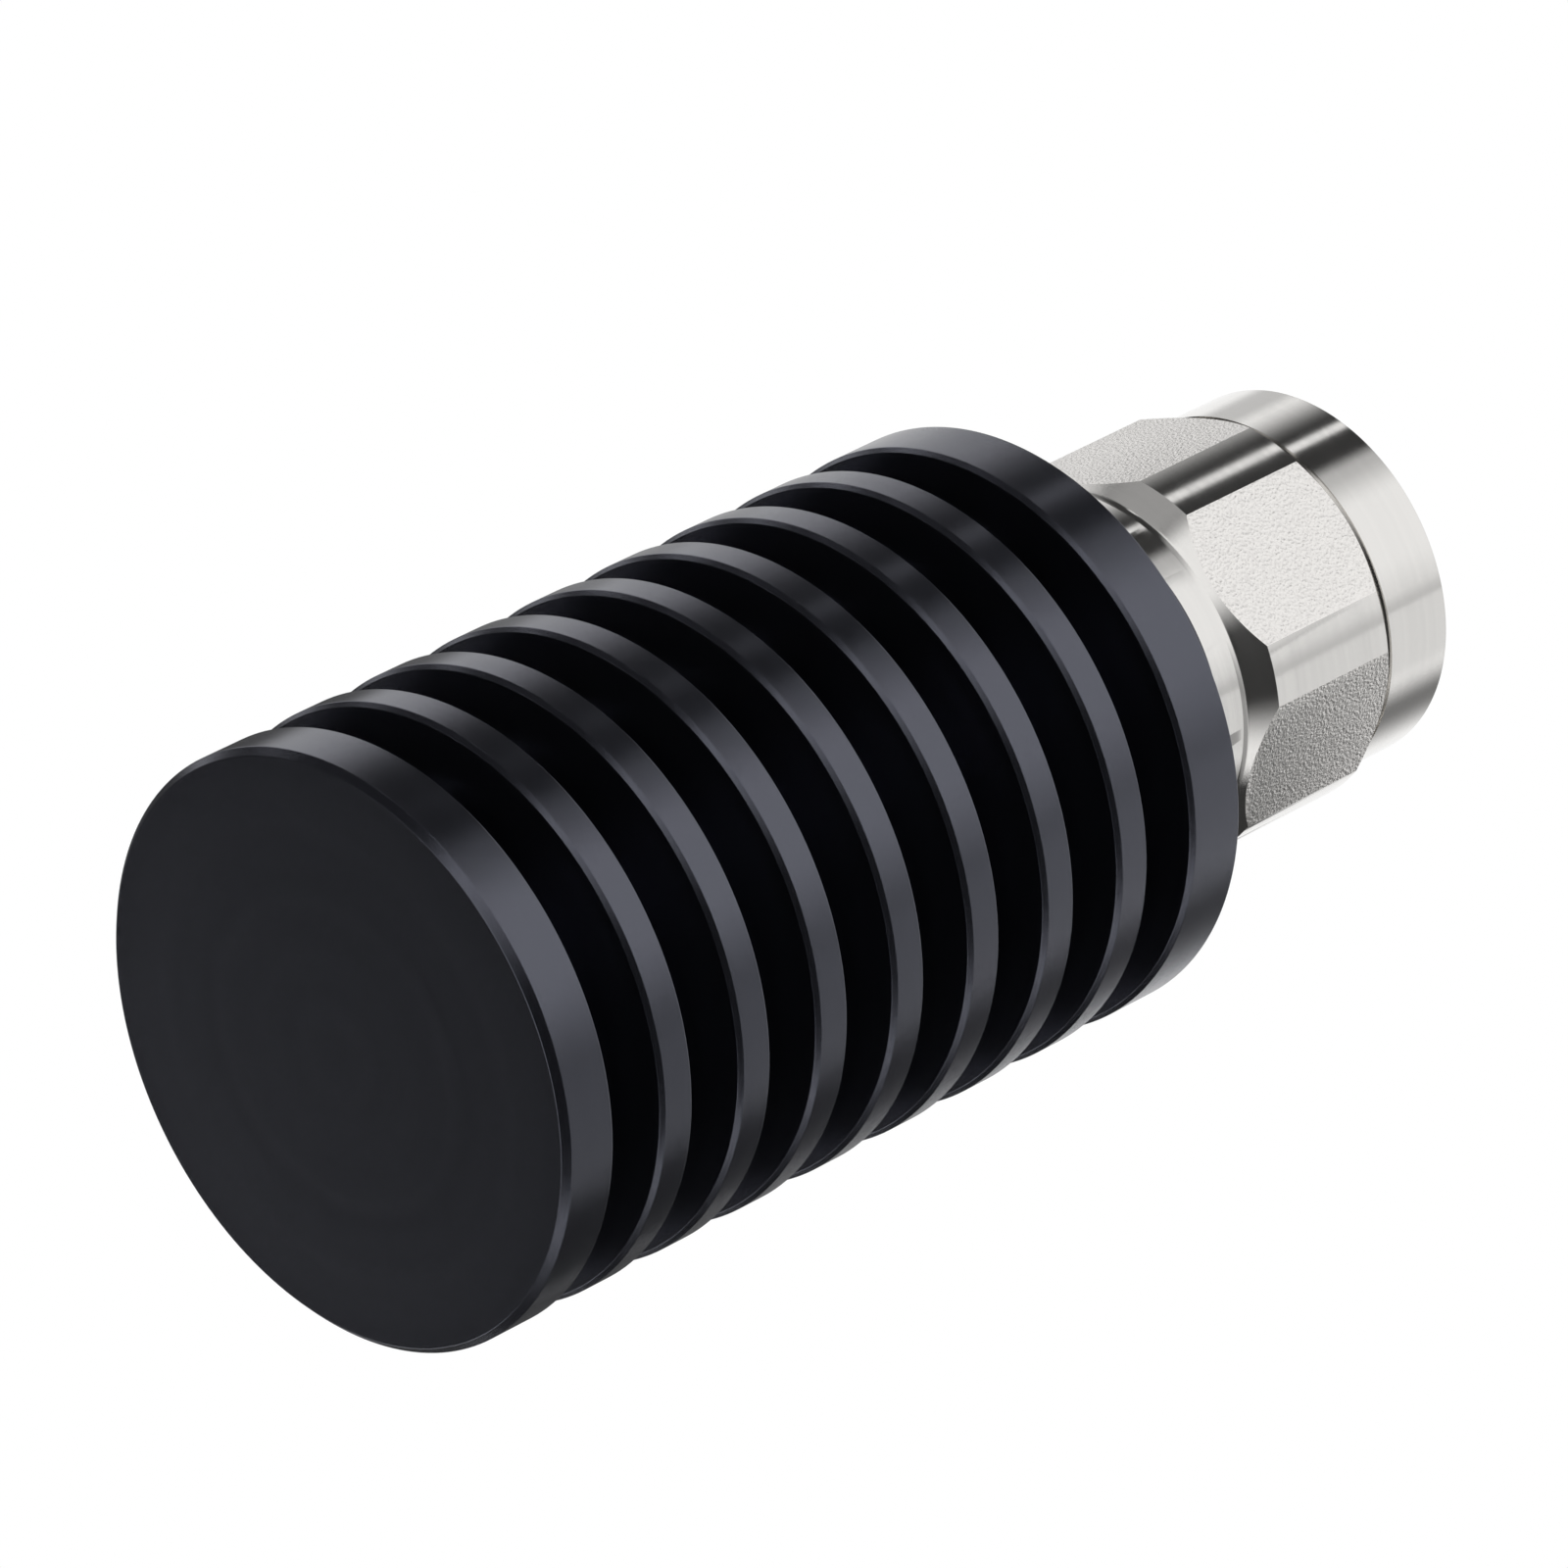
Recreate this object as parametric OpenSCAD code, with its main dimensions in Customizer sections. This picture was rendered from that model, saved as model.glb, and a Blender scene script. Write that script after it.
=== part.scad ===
// Coaxial terminator: a finned load with a screw-on male connector, 50 ohm.
// It stands on its closed end, with the axis along Z and the connector at the top.

/* [Heat sink] */
// Diameter of the heat sink's discs
sink_d = 32; // [28:0.5:40]
// Diameter of the core between the discs
core_d = 21; // [18:0.5:24]
// Thickness of the disc at the closed end
end_disc_t = 3.2; // [2.5:0.1:5]
// Number of thin fins
fin_count = 7; // [6:1:10]
// Thickness of one thin fin
fin_t = 2.03; // [1.6:0.01:3]
// Width of each groove
groove_w = 3.5; // [3:0.1:4.5]
// Thickness of the disc at the connector
front_disc_t = 3.5; // [3:0.1:6]
// Chamfer on each disc's rim towards the closed end
fin_chamfer = 0.23; // [0.1:0.01:0.4]
// Broken edge on its other rim
rim_break = 0.03; // [0.02:0.01:0.1]
// Chamfer round the closed end
end_chamfer = 0.37; // [0.2:0.01:0.8]
// Metal left behind the load's bore
floor_t = 8; // [5:0.5:9]

/* [Coupling nut] */
// Gap from the heat sink's face to the nut
nut_standoff = 5.34; // [4.6:0.05:7]
// Width across the hexagon's flats
hex_af = 20.56; // [20.4:0.02:21]
// Height of the rounded corners above the flats
land_h = 0.75; // [0.6:0.01:1.1]
// Length of the rounded corners
land_len = 8.54; // [7:0.01:10]
// How far the collar behind the hexagon lies below the flats
collar_step = 0.28; // [0.1:0.02:0.6]
// Straight length of the collar
collar_len = 1.75; // [1.2:0.05:2.5]
// Radius of the fillet from the collar into the rear cone
collar_fillet = 0.6; // [0.2:0.05:0.7]
// Angle of the rear cone to the axis
rear_cone_angle = 35; // [28:1:45]
// Angle of the front cone to the axis
front_cone_angle = 42; // [30:1:50]
// Depth of the relief in front of the hexagon, below the sleeve
relief_depth = 0.2; // [0.1:0.05:0.4]
// Width of that relief
relief_w = 0.27; // [0.2:0.05:0.6]
// How far the plain sleeve at the front stands above the flats
sleeve_step = 0.02; // [0:0.01:0.2]
// Length of the plain sleeve
sleeve_len = 4.4; // [3.5:0.1:6]
// Small chamfer on the nut's turned edges
edge_chamfer = 0.1; // [0.05:0.05:0.3]
// Metal left in the collar round the snap ring's groove
collar_wall = 1.03; // [0.8:0.01:1.3]
// Thickness of the lip behind the snap ring
nut_lip = 0.91; // [0.6:0.05:1.2]
// Inside diameter of the 5/8-24 thread
thread_minor_d = 14.84; // [14.74:0.02:15]
// Diameter of the smooth mouth in front of the thread
mouth_d = 16.2; // [16:0.05:16.8]
// Depth of that mouth
mouth_len = 1.2; // [0.8:0.1:1.6]

/* [Connector] */
// How far the body's flange stands out round the barrel
flange_rim = 1; // [0.7:0.1:1.5]
// Thickness of the flange
flange_t = 3.2; // [2.5:0.1:3.5]
// How far the flange's two spanner flats stand out from the barrel
flange_flat = 0.3; // [0.1:0.1:0.6]
// Diameter of the tail in the heat sink
tail_d = 13; // [12.6:0.1:14]
// Length of the tail
tail_len = 8; // [6:0.5:10]
// Bore of the outer conductor
line_d = 7; // [6.9:0.01:7.1]
// Diameter of the inner conductor
inner_d = 3.04; // [2.9:0.01:3.1]
// Wall of the outer contact
contact_wall = 0.55; // [0.45:0.05:0.65]
// Diameter of the outer contact's threaded root
contact_root_d = 10; // [9.9:0.05:10.4]
// Length of that root inside the body
contact_root_len = 3.85; // [3:0.05:4.2]
// Distance from the outer contact's face back to the gasket
gasket_depth = 8.95; // [8.8:0.05:9.1]
// Diameter of the centre pin
pin_d = 1.65; // [1.6:0.01:1.7]
// Distance from the outer contact's face back to the pin's shoulder
pin_shoulder_depth = 5.3; // [5.2:0.02:5.6]
// Length of the pin in front of its shoulder
pin_len = 4.6; // [4:0.1:5]
// Diameter of the pin's threaded tail
pin_tail_d = 2.1; // [1.9:0.05:2.3]
// Length of that tail behind the bead
pin_tail_len = 2; // [1.5:0.1:3]
// Width of the step that traps the bead's rim under the outer contact
bead_step = 0.4; // [0.2:0.05:0.6]
// Thickness of the bead
bead_t = 1.8; // [1.5:0.1:2.2]

/* [Ring and gasket] */
// Thickness of the snap ring
ring_t = 1.1; // [0.9:0.05:1.2]
// Thickness of the ring from inside to outside
ring_w = 1.7; // [1.5:0.05:1.75]
// Opening in the snap ring, in degrees
ring_opening = 30; // [15:1:45]
// Depth of the snap ring's groove in the barrel
ring_groove_depth = 0.9; // [0.8:0.05:1]
// Metal left in front of that groove
ring_land = 0.75; // [0.6:0.05:1]
// Thickness of the gasket
gasket_t = 1.3; // [1:0.05:1.5]
// Width of the seat left bare round the gasket
gasket_margin = 0.6; // [0.4:0.05:0.9]

/* [Load] */
// Diameter of the load's bore in the heat sink
load_d = 12; // [11.5:0.1:12.2]
// Diameter of the resistor rod
rod_d = 2.5; // [2.3:0.05:2.6]
// Length of the resistor rod
rod_len = 24; // [20:0.5:25]
// How far each cap covers the rod
cap_grip = 2; // [1.5:0.1:2.5]
// Thickness of a cap's end
cap_end_t = 0.8; // [0.6:0.1:1]
// Length of the rear cap behind the rod
rear_cap_t = 1.5; // [1.2:0.1:2]
// Diameter of the front cap's stub
stub_d = 2; // [1.8:0.05:2.1]
// Length of the front cap's stub
stub_len = 3; // [2.5:0.1:3.5]
// Thickness of the collet's flange
collet_flange_t = 2; // [1.5:0.1:2.5]
// Diameter of the collet's fingers
collet_d = 8; // [7:0.1:9]
// Length of the collet's fingers
collet_len = 3.5; // [3:0.1:4]
// Width of the saw cuts in the collet and the socket
slot_w = 0.3; // [0.2:0.05:0.4]
// Gap from the rear cap to the narrow end of the sleeve's bore
taper_gap = 0.25; // [0.15:0.05:0.5]

/* [Clearances] */
// Radial clearance of the nut on the barrel
nut_clearance = 0.08; // [0.04:0.01:0.1]
// Radial clearance of the snap ring in the nut's groove
ring_clearance = 0.15; // [0.1:0.01:0.2]
// Axial clearance of the snap ring, on each side, in the barrel and in the nut
ring_play = 0.05; // [0.02:0.01:0.08]
// Clearance between pieces that are screwed or pressed together
seat_clearance = 0.02; // [0.01:0.01:0.05]

/* [Hidden] */
$fn = 96;

// Heat sink, from the closed end
fin_pitch = fin_t + groove_w;
front_disc_z = end_disc_t + groove_w + fin_count*fin_pitch;
sink_len = front_disc_z + front_disc_t;

// Coupling nut and snap ring: radii from the flats inwards
flat_r = hex_af/2;
land_r = flat_r + land_h;
sleeve_r = flat_r + sleeve_step;
relief_r = sleeve_r - relief_depth;
collar_r = flat_r - collar_step;
ring_groove_r = collar_r - collar_wall;
ring_r = ring_groove_r - ring_clearance;
ring_floor_r = ring_r - ring_w - seat_clearance;
barrel_r = ring_floor_r + ring_groove_depth;
nut_bore_r = barrel_r + nut_clearance;

// Coupling nut: planes from its rear face to its mouth
nut_z = sink_len + nut_standoff;
fillet_z = nut_z + collar_len;
cone_start_r = collar_r + collar_fillet*(1 - cos(rear_cone_angle));
cone_start_z = fillet_z + collar_fillet*sin(rear_cone_angle);
land_z = cone_start_z + (land_r - cone_start_r)/tan(rear_cone_angle);
land_end_z = land_z + land_len;
relief_z = land_end_z + land_h/tan(front_cone_angle);
sleeve_z = relief_z + relief_w;
nut_end_z = sleeve_z + sleeve_len;
thread_end_z = nut_end_z - mouth_len;

// Connector: planes from the snap ring's groove forward to the contacts
groove_z = nut_z + nut_lip + ring_play;
groove_end_z = groove_z + ring_t + 2*ring_play;
gasket_z = groove_end_z + ring_land;
contact_z = gasket_z + gasket_t + gasket_depth;
shoulder_z = contact_z - pin_shoulder_depth;

// Connector: radii, and planes back to the tail
line_r = line_d/2;
contact_r = line_r + contact_wall;
contact_root_r = contact_root_d/2;
bead_r = contact_root_r - bead_step;
bead_end_z = gasket_z - contact_root_len;
bead_z = bead_end_z - bead_t;
flange_end_z = sink_len + flange_t;
tail_z = sink_len - tail_len;

// Load, from the bottom of its bore
load_r = load_d/2;
collet_z = floor_t + seat_clearance;
finger_z = collet_z + collet_flange_t;
rear_cap_z = finger_z + 0.5;
rear_cap_r = rod_d/2 + 0.25;
rod_z = rear_cap_z + rear_cap_t;
rod_end_z = rod_z + rod_len;
front_cap_z = rod_end_z - cap_grip;
front_cap_end_z = rod_end_z + cap_end_t;
stub_end_z = front_cap_end_z + stub_len;

// A turned solid, from points that are [radius, z]
module turned(points) {
    rotate_extrude() polygon(points);
}

// A hole along Z that runs a little past both ends
module drill(d, z0, z1) {
    translate([0, 0, z0]) cylinder(d = d, h = z1 - z0);
}

// Half section of a disc with both rims chamfered, as [radius, z] points
function disc(r, z0, z1, c0, c1) = [[0, z0], [r - c0, z0], [r, z0 + c0], [r, z1 - c1], [r - c1, z1], [0, z1]];

module heatsink() {
    color("#2b2c30") difference() {
        union() {
            drill(core_d, end_disc_t/2, front_disc_z + front_disc_t/2);
            turned(disc(sink_d/2, 0, end_disc_t, end_chamfer, rim_break));
            for (i = [0 : fin_count - 1]) {
                z = end_disc_t + groove_w + i*fin_pitch;
                turned(disc(sink_d/2, z, z + fin_t, fin_chamfer, rim_break));
            }
            turned(disc(sink_d/2, front_disc_z, sink_len, fin_chamfer, rim_break));
        }
        drill(load_d + 2*seat_clearance, floor_t, tail_z + seat_clearance);
        drill(tail_d + 2*seat_clearance, tail_z, sink_len + 1);
        translate([0, 0, sink_len - 0.5]) cylinder(d1 = tail_d, d2 = tail_d + 2, h = 1);
    }
}

// Body with its tail, spanner flange, barrel, snap ring groove and gasket seat
module connector_body() {
    r = barrel_r;
    flat = barrel_r + flange_flat;
    color("silver") difference() {
        union() {
            turned([[0, tail_z], [tail_d/2 - 0.4, tail_z], [tail_d/2, tail_z + 0.4],
                [tail_d/2, sink_len + flange_t/2], [0, sink_len + flange_t/2]]);
            intersection() {
                turned(disc(r + flange_rim, sink_len, flange_end_z, edge_chamfer, edge_chamfer));
                translate([-2*r, -flat, sink_len]) cube([4*r, 2*flat, flange_t]);
            }
            turned([[0, sink_len + flange_t/2], [r, sink_len + flange_t/2], [r, groove_z],
                [ring_floor_r, groove_z], [ring_floor_r, groove_end_z], [r, groove_end_z],
                [r, gasket_z - edge_chamfer], [r - edge_chamfer, gasket_z], [0, gasket_z]]);
        }
        drill(line_d, tail_z - 1, bead_z + bead_t/2);
        drill(2*(bead_r + seat_clearance), bead_z, bead_end_z + contact_root_len/2);
        drill(2*(contact_root_r + seat_clearance), bead_end_z, gasket_z + 1);
    }
}

// Outer contact: a thin tube that widens into its root
module outer_contact() {
    r = contact_r;
    root_r = contact_root_r;
    root_z = bead_end_z + seat_clearance;
    root_end_z = gasket_z + 0.2;
    nose = 0.15;
    color("gainsboro") difference() {
        turned([[0, root_z], [root_r, root_z], [root_r, root_end_z], [r, root_end_z + root_r - r],
            [r, contact_z - nose], [r - nose, contact_z], [0, contact_z]]);
        drill(line_d, bead_end_z - 1, contact_z + 1);
    }
}

// The nut's outline: collar, fillet, rear cone, corner lands, front cone, relief and sleeve
module nut_outline() {
    steps = 6;
    fillet = [for (i = [0 : steps]) let (a = rear_cone_angle*i/steps)
        [collar_r + collar_fillet*(1 - cos(a)), fillet_z + collar_fillet*sin(a)]];
    turned(concat(
        [[0, nut_z], [collar_r - edge_chamfer, nut_z], [collar_r, nut_z + edge_chamfer]],
        fillet,
        [[land_r, land_z], [land_r, land_end_z], [flat_r, relief_z], [relief_r, relief_z],
            [relief_r, sleeve_z], [sleeve_r, sleeve_z], [sleeve_r, nut_end_z - edge_chamfer],
            [sleeve_r - edge_chamfer, nut_end_z], [0, nut_end_z]]));
}

// The nut's inside: running bore, snap ring groove, thread at its inside diameter and smooth mouth
module nut_inside() {
    b = nut_bore_r;
    t = thread_minor_d/2;
    z0 = groove_z - ring_play;
    z1 = groove_end_z + ring_play;
    thread_z = gasket_z + gasket_t + 0.3;
    turned([[0, nut_z - 1], [b + edge_chamfer, nut_z - 1], [b + edge_chamfer, nut_z],
        [b, nut_z + edge_chamfer], [b, z0], [ring_groove_r, z0], [ring_groove_r, z1], [b, z1], [b, thread_z],
        [t, thread_z + abs(b - t)], [t, thread_end_z - abs(mouth_d/2 - t)], [mouth_d/2, thread_end_z],
        [mouth_d/2, nut_end_z - edge_chamfer], [mouth_d/2 + edge_chamfer, nut_end_z],
        [mouth_d/2 + edge_chamfer, nut_end_z + 1], [0, nut_end_z + 1]]);
}

module coupling_nut() {
    color("silver") difference() {
        intersection() {
            nut_outline();
            union() {
                // two of the six flats face along Y
                translate([0, 0, nut_z])
                    cylinder(r = flat_r/cos(30), h = sleeve_z - relief_w/2 - nut_z, $fn = 6);
                drill(2*sleeve_r + 1, relief_z + relief_w/4, nut_end_z);
            }
        }
        nut_inside();
    }
}

module snap_ring() {
    color("dimgray") translate([0, 0, groove_z + ring_play]) rotate([0, 0, 90 + ring_opening/2])
        rotate_extrude(angle = 360 - ring_opening)
            translate([ring_r - ring_w, 0]) square([ring_w, ring_t]);
}

module sealing_gasket() {
    c = gasket_t/5;
    r0 = contact_root_r + 0.1;
    r1 = barrel_r - gasket_margin;
    z0 = gasket_z;
    z1 = gasket_z + gasket_t;
    color("orangered") turned([[r0 + c, z0], [r1 - c, z0], [r1, z0 + c], [r1, z1 - c], [r1 - c, z1],
        [r0 + c, z1], [r0, z1 - c], [r0, z0 + c]]);
}

// Pin with a tapered nose, its shoulder and a threaded tail through the bead
module centre_pin() {
    nose = 0.6;
    tip_z = shoulder_z + pin_len;
    color("gold") turned([[0, bead_z - pin_tail_len], [pin_tail_d/2, bead_z - pin_tail_len],
        [pin_tail_d/2, bead_end_z], [inner_d/2, bead_end_z], [inner_d/2, shoulder_z - 0.1],
        [inner_d/2 - 0.1, shoulder_z], [pin_d/2, shoulder_z], [pin_d/2, tip_z - nose],
        [pin_d/4, tip_z], [0, tip_z]]);
}

module support_bead() {
    color("ivory") difference() {
        drill(2*bead_r, bead_z, bead_end_z);
        drill(pin_tail_d + 2*seat_clearance, bead_z - 1, bead_end_z + 1);
    }
}

// Saw cuts across the axis, which leave four fingers
module saw_cuts(d, z0, z1) {
    for (a = [0, 90]) rotate([0, 0, a])
        translate([-d, -slot_w/2, z0]) cube([2*d, slot_w, z1 - z0]);
}

module rear_conductor() {
    z0 = front_cap_end_z + seat_clearance;
    color("gold") difference() {
        drill(inner_d, z0, bead_z);
        drill(pin_tail_d + 2*seat_clearance, bead_z - pin_tail_len - 0.2, bead_z + 1);
        drill(stub_d + 2*seat_clearance, z0 - 1, stub_end_z + 0.3);
        saw_cuts(inner_d, z0 - 1, stub_end_z);
    }
}

module resistor_rod() {
    color("white") drill(rod_d, rod_z, rod_end_z);
}

module front_cap() {
    color("silver") difference() {
        union() {
            drill(inner_d, front_cap_z, front_cap_end_z);
            drill(stub_d, rod_end_z + cap_end_t/2, stub_end_z);
        }
        drill(rod_d + 2*seat_clearance, front_cap_z - 1, rod_end_z + seat_clearance);
    }
}

module rear_cap() {
    color("silver") difference() {
        drill(2*rear_cap_r, rear_cap_z, rod_z + cap_grip);
        drill(rod_d + 2*seat_clearance, rod_z - seat_clearance, rod_z + cap_grip + 1);
    }
}

// Outer conductor round the rod: its bore widens exponentially towards the connector
module tapered_sleeve() {
    z0 = finger_z + seat_clearance;
    z1 = tail_z - seat_clearance;
    seat_z = finger_z + collet_len + 0.5;
    taper_end_z = front_cap_z;
    small_r = rear_cap_r + taper_gap;
    steps = 16;
    horn = [for (i = [0 : steps])
        [small_r*pow(line_r/small_r, i/steps), seat_z + (taper_end_z - seat_z)*i/steps]];
    color("darkgoldenrod") difference() {
        turned(disc(load_r, z0, z1, edge_chamfer, edge_chamfer));
        turned(concat([[0, z0 - 1], [collet_d/2 + seat_clearance, z0 - 1], [collet_d/2 + seat_clearance, seat_z]],
            horn, [[line_r, z1 + 1], [0, z1 + 1]]));
    }
}

// Slotted collet that earths the rod's rear cap
module ground_collet() {
    end_z = finger_z + collet_len;
    color("goldenrod") difference() {
        union() {
            turned(disc(load_r, collet_z, finger_z, edge_chamfer, edge_chamfer));
            drill(collet_d, collet_z + collet_flange_t/2, end_z);
        }
        drill(2*rear_cap_r + 2*seat_clearance, rear_cap_z - seat_clearance, end_z + 1);
        saw_cuts(collet_d, rear_cap_z + 0.5, end_z + 1);
    }
}

heatsink();
connector_body();
outer_contact();
coupling_nut();
snap_ring();
sealing_gasket();
centre_pin();
support_bead();
rear_conductor();
resistor_rod();
front_cap();
rear_cap();
tapered_sleeve();
ground_collet();
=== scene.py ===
import bpy
import math
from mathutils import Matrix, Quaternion, Vector


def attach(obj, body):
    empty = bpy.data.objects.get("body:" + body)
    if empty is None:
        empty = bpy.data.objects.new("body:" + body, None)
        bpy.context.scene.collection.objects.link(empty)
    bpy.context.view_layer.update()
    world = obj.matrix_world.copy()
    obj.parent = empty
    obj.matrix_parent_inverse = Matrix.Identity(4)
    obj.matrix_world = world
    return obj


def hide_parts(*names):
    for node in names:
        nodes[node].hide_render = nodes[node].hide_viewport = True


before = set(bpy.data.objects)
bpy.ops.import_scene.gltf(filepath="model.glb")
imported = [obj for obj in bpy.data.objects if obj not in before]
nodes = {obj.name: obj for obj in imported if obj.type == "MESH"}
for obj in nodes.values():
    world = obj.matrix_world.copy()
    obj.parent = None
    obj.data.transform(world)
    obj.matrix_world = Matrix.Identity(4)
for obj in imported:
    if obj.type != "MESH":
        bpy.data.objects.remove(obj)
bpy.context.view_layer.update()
mm = 0.001
print("frame loaded:", len(nodes), "solids")


cameraPlan = {
    "aim": (-2.285, 0.960, 34.475),  # mm
    "distance": 632.32,              # mm
    "azimuth": -82.1,                # degrees round Z, from +X
    "elevation": -39.676,
    "roll": 63.687,
    "lens": 283.84,
}


def makeCamera():
    az, el = math.radians(cameraPlan["azimuth"]), math.radians(cameraPlan["elevation"])
    back = Vector((math.cos(el) * math.cos(az), math.cos(el) * math.sin(az), math.sin(el)))
    data = bpy.data.cameras.new("productCamera")
    data.lens = cameraPlan["lens"]
    data.sensor_width = 36
    data.clip_start, data.clip_end = 0.01, 20
    camera = bpy.data.objects.new("productCamera", data)
    bpy.context.scene.collection.objects.link(camera)
    camera.rotation_mode = "QUATERNION"
    camera.location = Vector(cameraPlan["aim"]) * mm + back * cameraPlan["distance"] * mm
    camera.rotation_quaternion = (-back).to_track_quat("-Z", "Y") @ Quaternion(
        (0, 0, 1), math.radians(cameraPlan["roll"]))
    bpy.context.scene.camera = camera


makeCamera()
bpy.context.scene.view_settings.view_transform = "Standard"
print("camera placed")


def addNode(tree, kind, place=(0, 0), **sockets):
    node = tree.nodes.new(kind)
    node.location = place
    for name, value in sockets.items():
        node.inputs[name].default_value = value
    return node


def mathNode(tree, operation, a, b=None, place=(0, 0)):
    node = tree.nodes.new("ShaderNodeMath")
    node.operation = operation
    node.location = place
    for i, value in enumerate((a, b)):
        if value is None:
            continue
        if isinstance(value, (int, float)):
            node.inputs[i].default_value = value
        else:
            tree.links.new(value, node.inputs[i])
    return node.outputs[0]


def newMaterial(name):
    material = bpy.data.materials.new(name)
    material.use_nodes = True
    tree = material.node_tree
    tree.nodes.clear()
    output = addNode(tree, "ShaderNodeOutputMaterial", (900, 0))
    return material, tree, output


def newGroup(name, inputs, outputs):
    group = bpy.data.node_groups.new(name, "ShaderNodeTree")
    for label, kind, value in inputs:
        socket = group.interface.new_socket(label, in_out="INPUT", socket_type=kind)
        if value is not None:
            socket.default_value = value
    for label, kind in outputs:
        group.interface.new_socket(label, in_out="OUTPUT", socket_type=kind)
    return group, addNode(group, "NodeGroupInput", (-800, 0)), addNode(group, "NodeGroupOutput", (600, 0))


def useGroup(tree, group, place, **sockets):
    node = tree.nodes.new("ShaderNodeGroup")
    node.node_tree = group
    node.location = place
    for name, value in sockets.items():
        node.inputs[name].default_value = value
    return node


# fine rings that a lathe leaves on every face turned about Z
def makeTurningGroup():
    group, start, end = newGroup(
        "turningMarks",
        [("Place", "NodeSocketVector", None), ("Fine", "NodeSocketFloat", 9000.0),
         ("Coarse", "NodeSocketFloat", 900.0)],
        [("Height", "NodeSocketFloat"), ("Streaks", "NodeSocketFloat")])
    split = addNode(group, "ShaderNodeSeparateXYZ", (-600, 0))
    group.links.new(start.outputs["Place"], split.inputs[0])
    xx = mathNode(group, "MULTIPLY", split.outputs[0], split.outputs[0], (-450, 100))
    yy = mathNode(group, "MULTIPLY", split.outputs[1], split.outputs[1], (-450, -50))
    radius = mathNode(group, "SQRT", mathNode(group, "ADD", xx, yy, (-300, 50)), None, (-150, 50))
    both = addNode(group, "ShaderNodeCombineXYZ", (0, 0))
    group.links.new(radius, both.inputs[0])
    group.links.new(split.outputs[2], both.inputs[1])
    for label, source, detail, y in (("Height", "Fine", 2.0, 150), ("Streaks", "Coarse", 4.0, -150)):
        noise = addNode(group, "ShaderNodeTexNoise", (250, y), Detail=detail)
        group.links.new(both.outputs[0], noise.inputs["Vector"])
        group.links.new(start.outputs[source], noise.inputs["Scale"])
        group.links.new(noise.outputs[0], end.inputs[label])
    return group


turningMarks = makeTurningGroup()


def turnedMetal(name, look):
    material, tree, output = newMaterial(name)
    shader = addNode(tree, "ShaderNodeBsdfPrincipled", (600, 0), Metallic=1.0)
    place = addNode(tree, "ShaderNodeTexCoord", (-600, 0))
    marks = useGroup(tree, turningMarks, (-350, 0), Fine=look["fine"], Coarse=look["coarse"])
    tree.links.new(place.outputs["Object"], marks.inputs["Place"])
    tint = addNode(tree, "ShaderNodeMix", (250, 200))
    tint.data_type = "RGBA"
    tint.inputs[6].default_value = (*look["colour"], 1)
    tint.inputs[7].default_value = (*look["colour2"], 1)
    tree.links.new(marks.outputs["Streaks"], tint.inputs[0])
    tree.links.new(tint.outputs[2], shader.inputs["Base Color"])
    rough = addNode(tree, "ShaderNodeMapRange", (250, 0))
    rough.inputs[3].default_value, rough.inputs[4].default_value = look["rough"]
    tree.links.new(marks.outputs["Streaks"], rough.inputs[0])
    tree.links.new(rough.outputs[0], shader.inputs["Roughness"])
    bump = addNode(tree, "ShaderNodeBump", (250, -250), Strength=look["bump"], Distance=look["depth"])
    tree.links.new(marks.outputs["Height"], bump.inputs["Height"])
    tree.links.new(bump.outputs[0], shader.inputs["Normal"])
    tree.links.new(shader.outputs[0], output.inputs[0])
    return material


stainlessLook = {"colour": (0.82, 0.805, 0.78), "colour2": (0.74, 0.728, 0.71), "fine": 9000.0,
                 "coarse": 1500.0, "rough": (0.07, 0.15), "bump": 0.25, "depth": 0.000004}
goldLook = {"colour": (0.86, 0.62, 0.24), "colour2": (0.80, 0.56, 0.21), "fine": 8000.0,
            "coarse": 1500.0, "rough": (0.12, 0.22), "bump": 0.2, "depth": 0.000004}
springLook = {"colour": (0.42, 0.42, 0.43), "colour2": (0.34, 0.34, 0.35), "fine": 8000.0,
              "coarse": 1200.0, "rough": (0.25, 0.4), "bump": 0.3, "depth": 0.000005}
silverLook = {"colour": (0.82, 0.81, 0.78), "colour2": (0.74, 0.73, 0.70), "fine": 8000.0,
              "coarse": 1500.0, "rough": (0.15, 0.25), "bump": 0.2, "depth": 0.000004}
brassLook = {"colour": (0.72, 0.55, 0.25), "colour2": (0.64, 0.48, 0.21), "fine": 8000.0,
             "coarse": 1500.0, "rough": (0.18, 0.3), "bump": 0.25, "depth": 0.000005}
stainless = turnedMetal("turnedStainless", stainlessLook)
gold = turnedMetal("goldPlate", goldLook)
springSteel = turnedMetal("springSteel", springLook)
silver = turnedMetal("silverPlate", silverLook)
brass = turnedMetal("turnedBrass", brassLook)

# colour2 is painted shade for the pebble's hollows, colour is the metal on its crests
pebbleLook = {"colour": (0.90, 0.88, 0.855), "colour2": (0.80, 0.78, 0.76), "scale": 6000.0,
              "rough": (0.28, 0.38), "bump": 1.0, "depth": 0.000048, "crest": (0.3, 0.55)}
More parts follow.
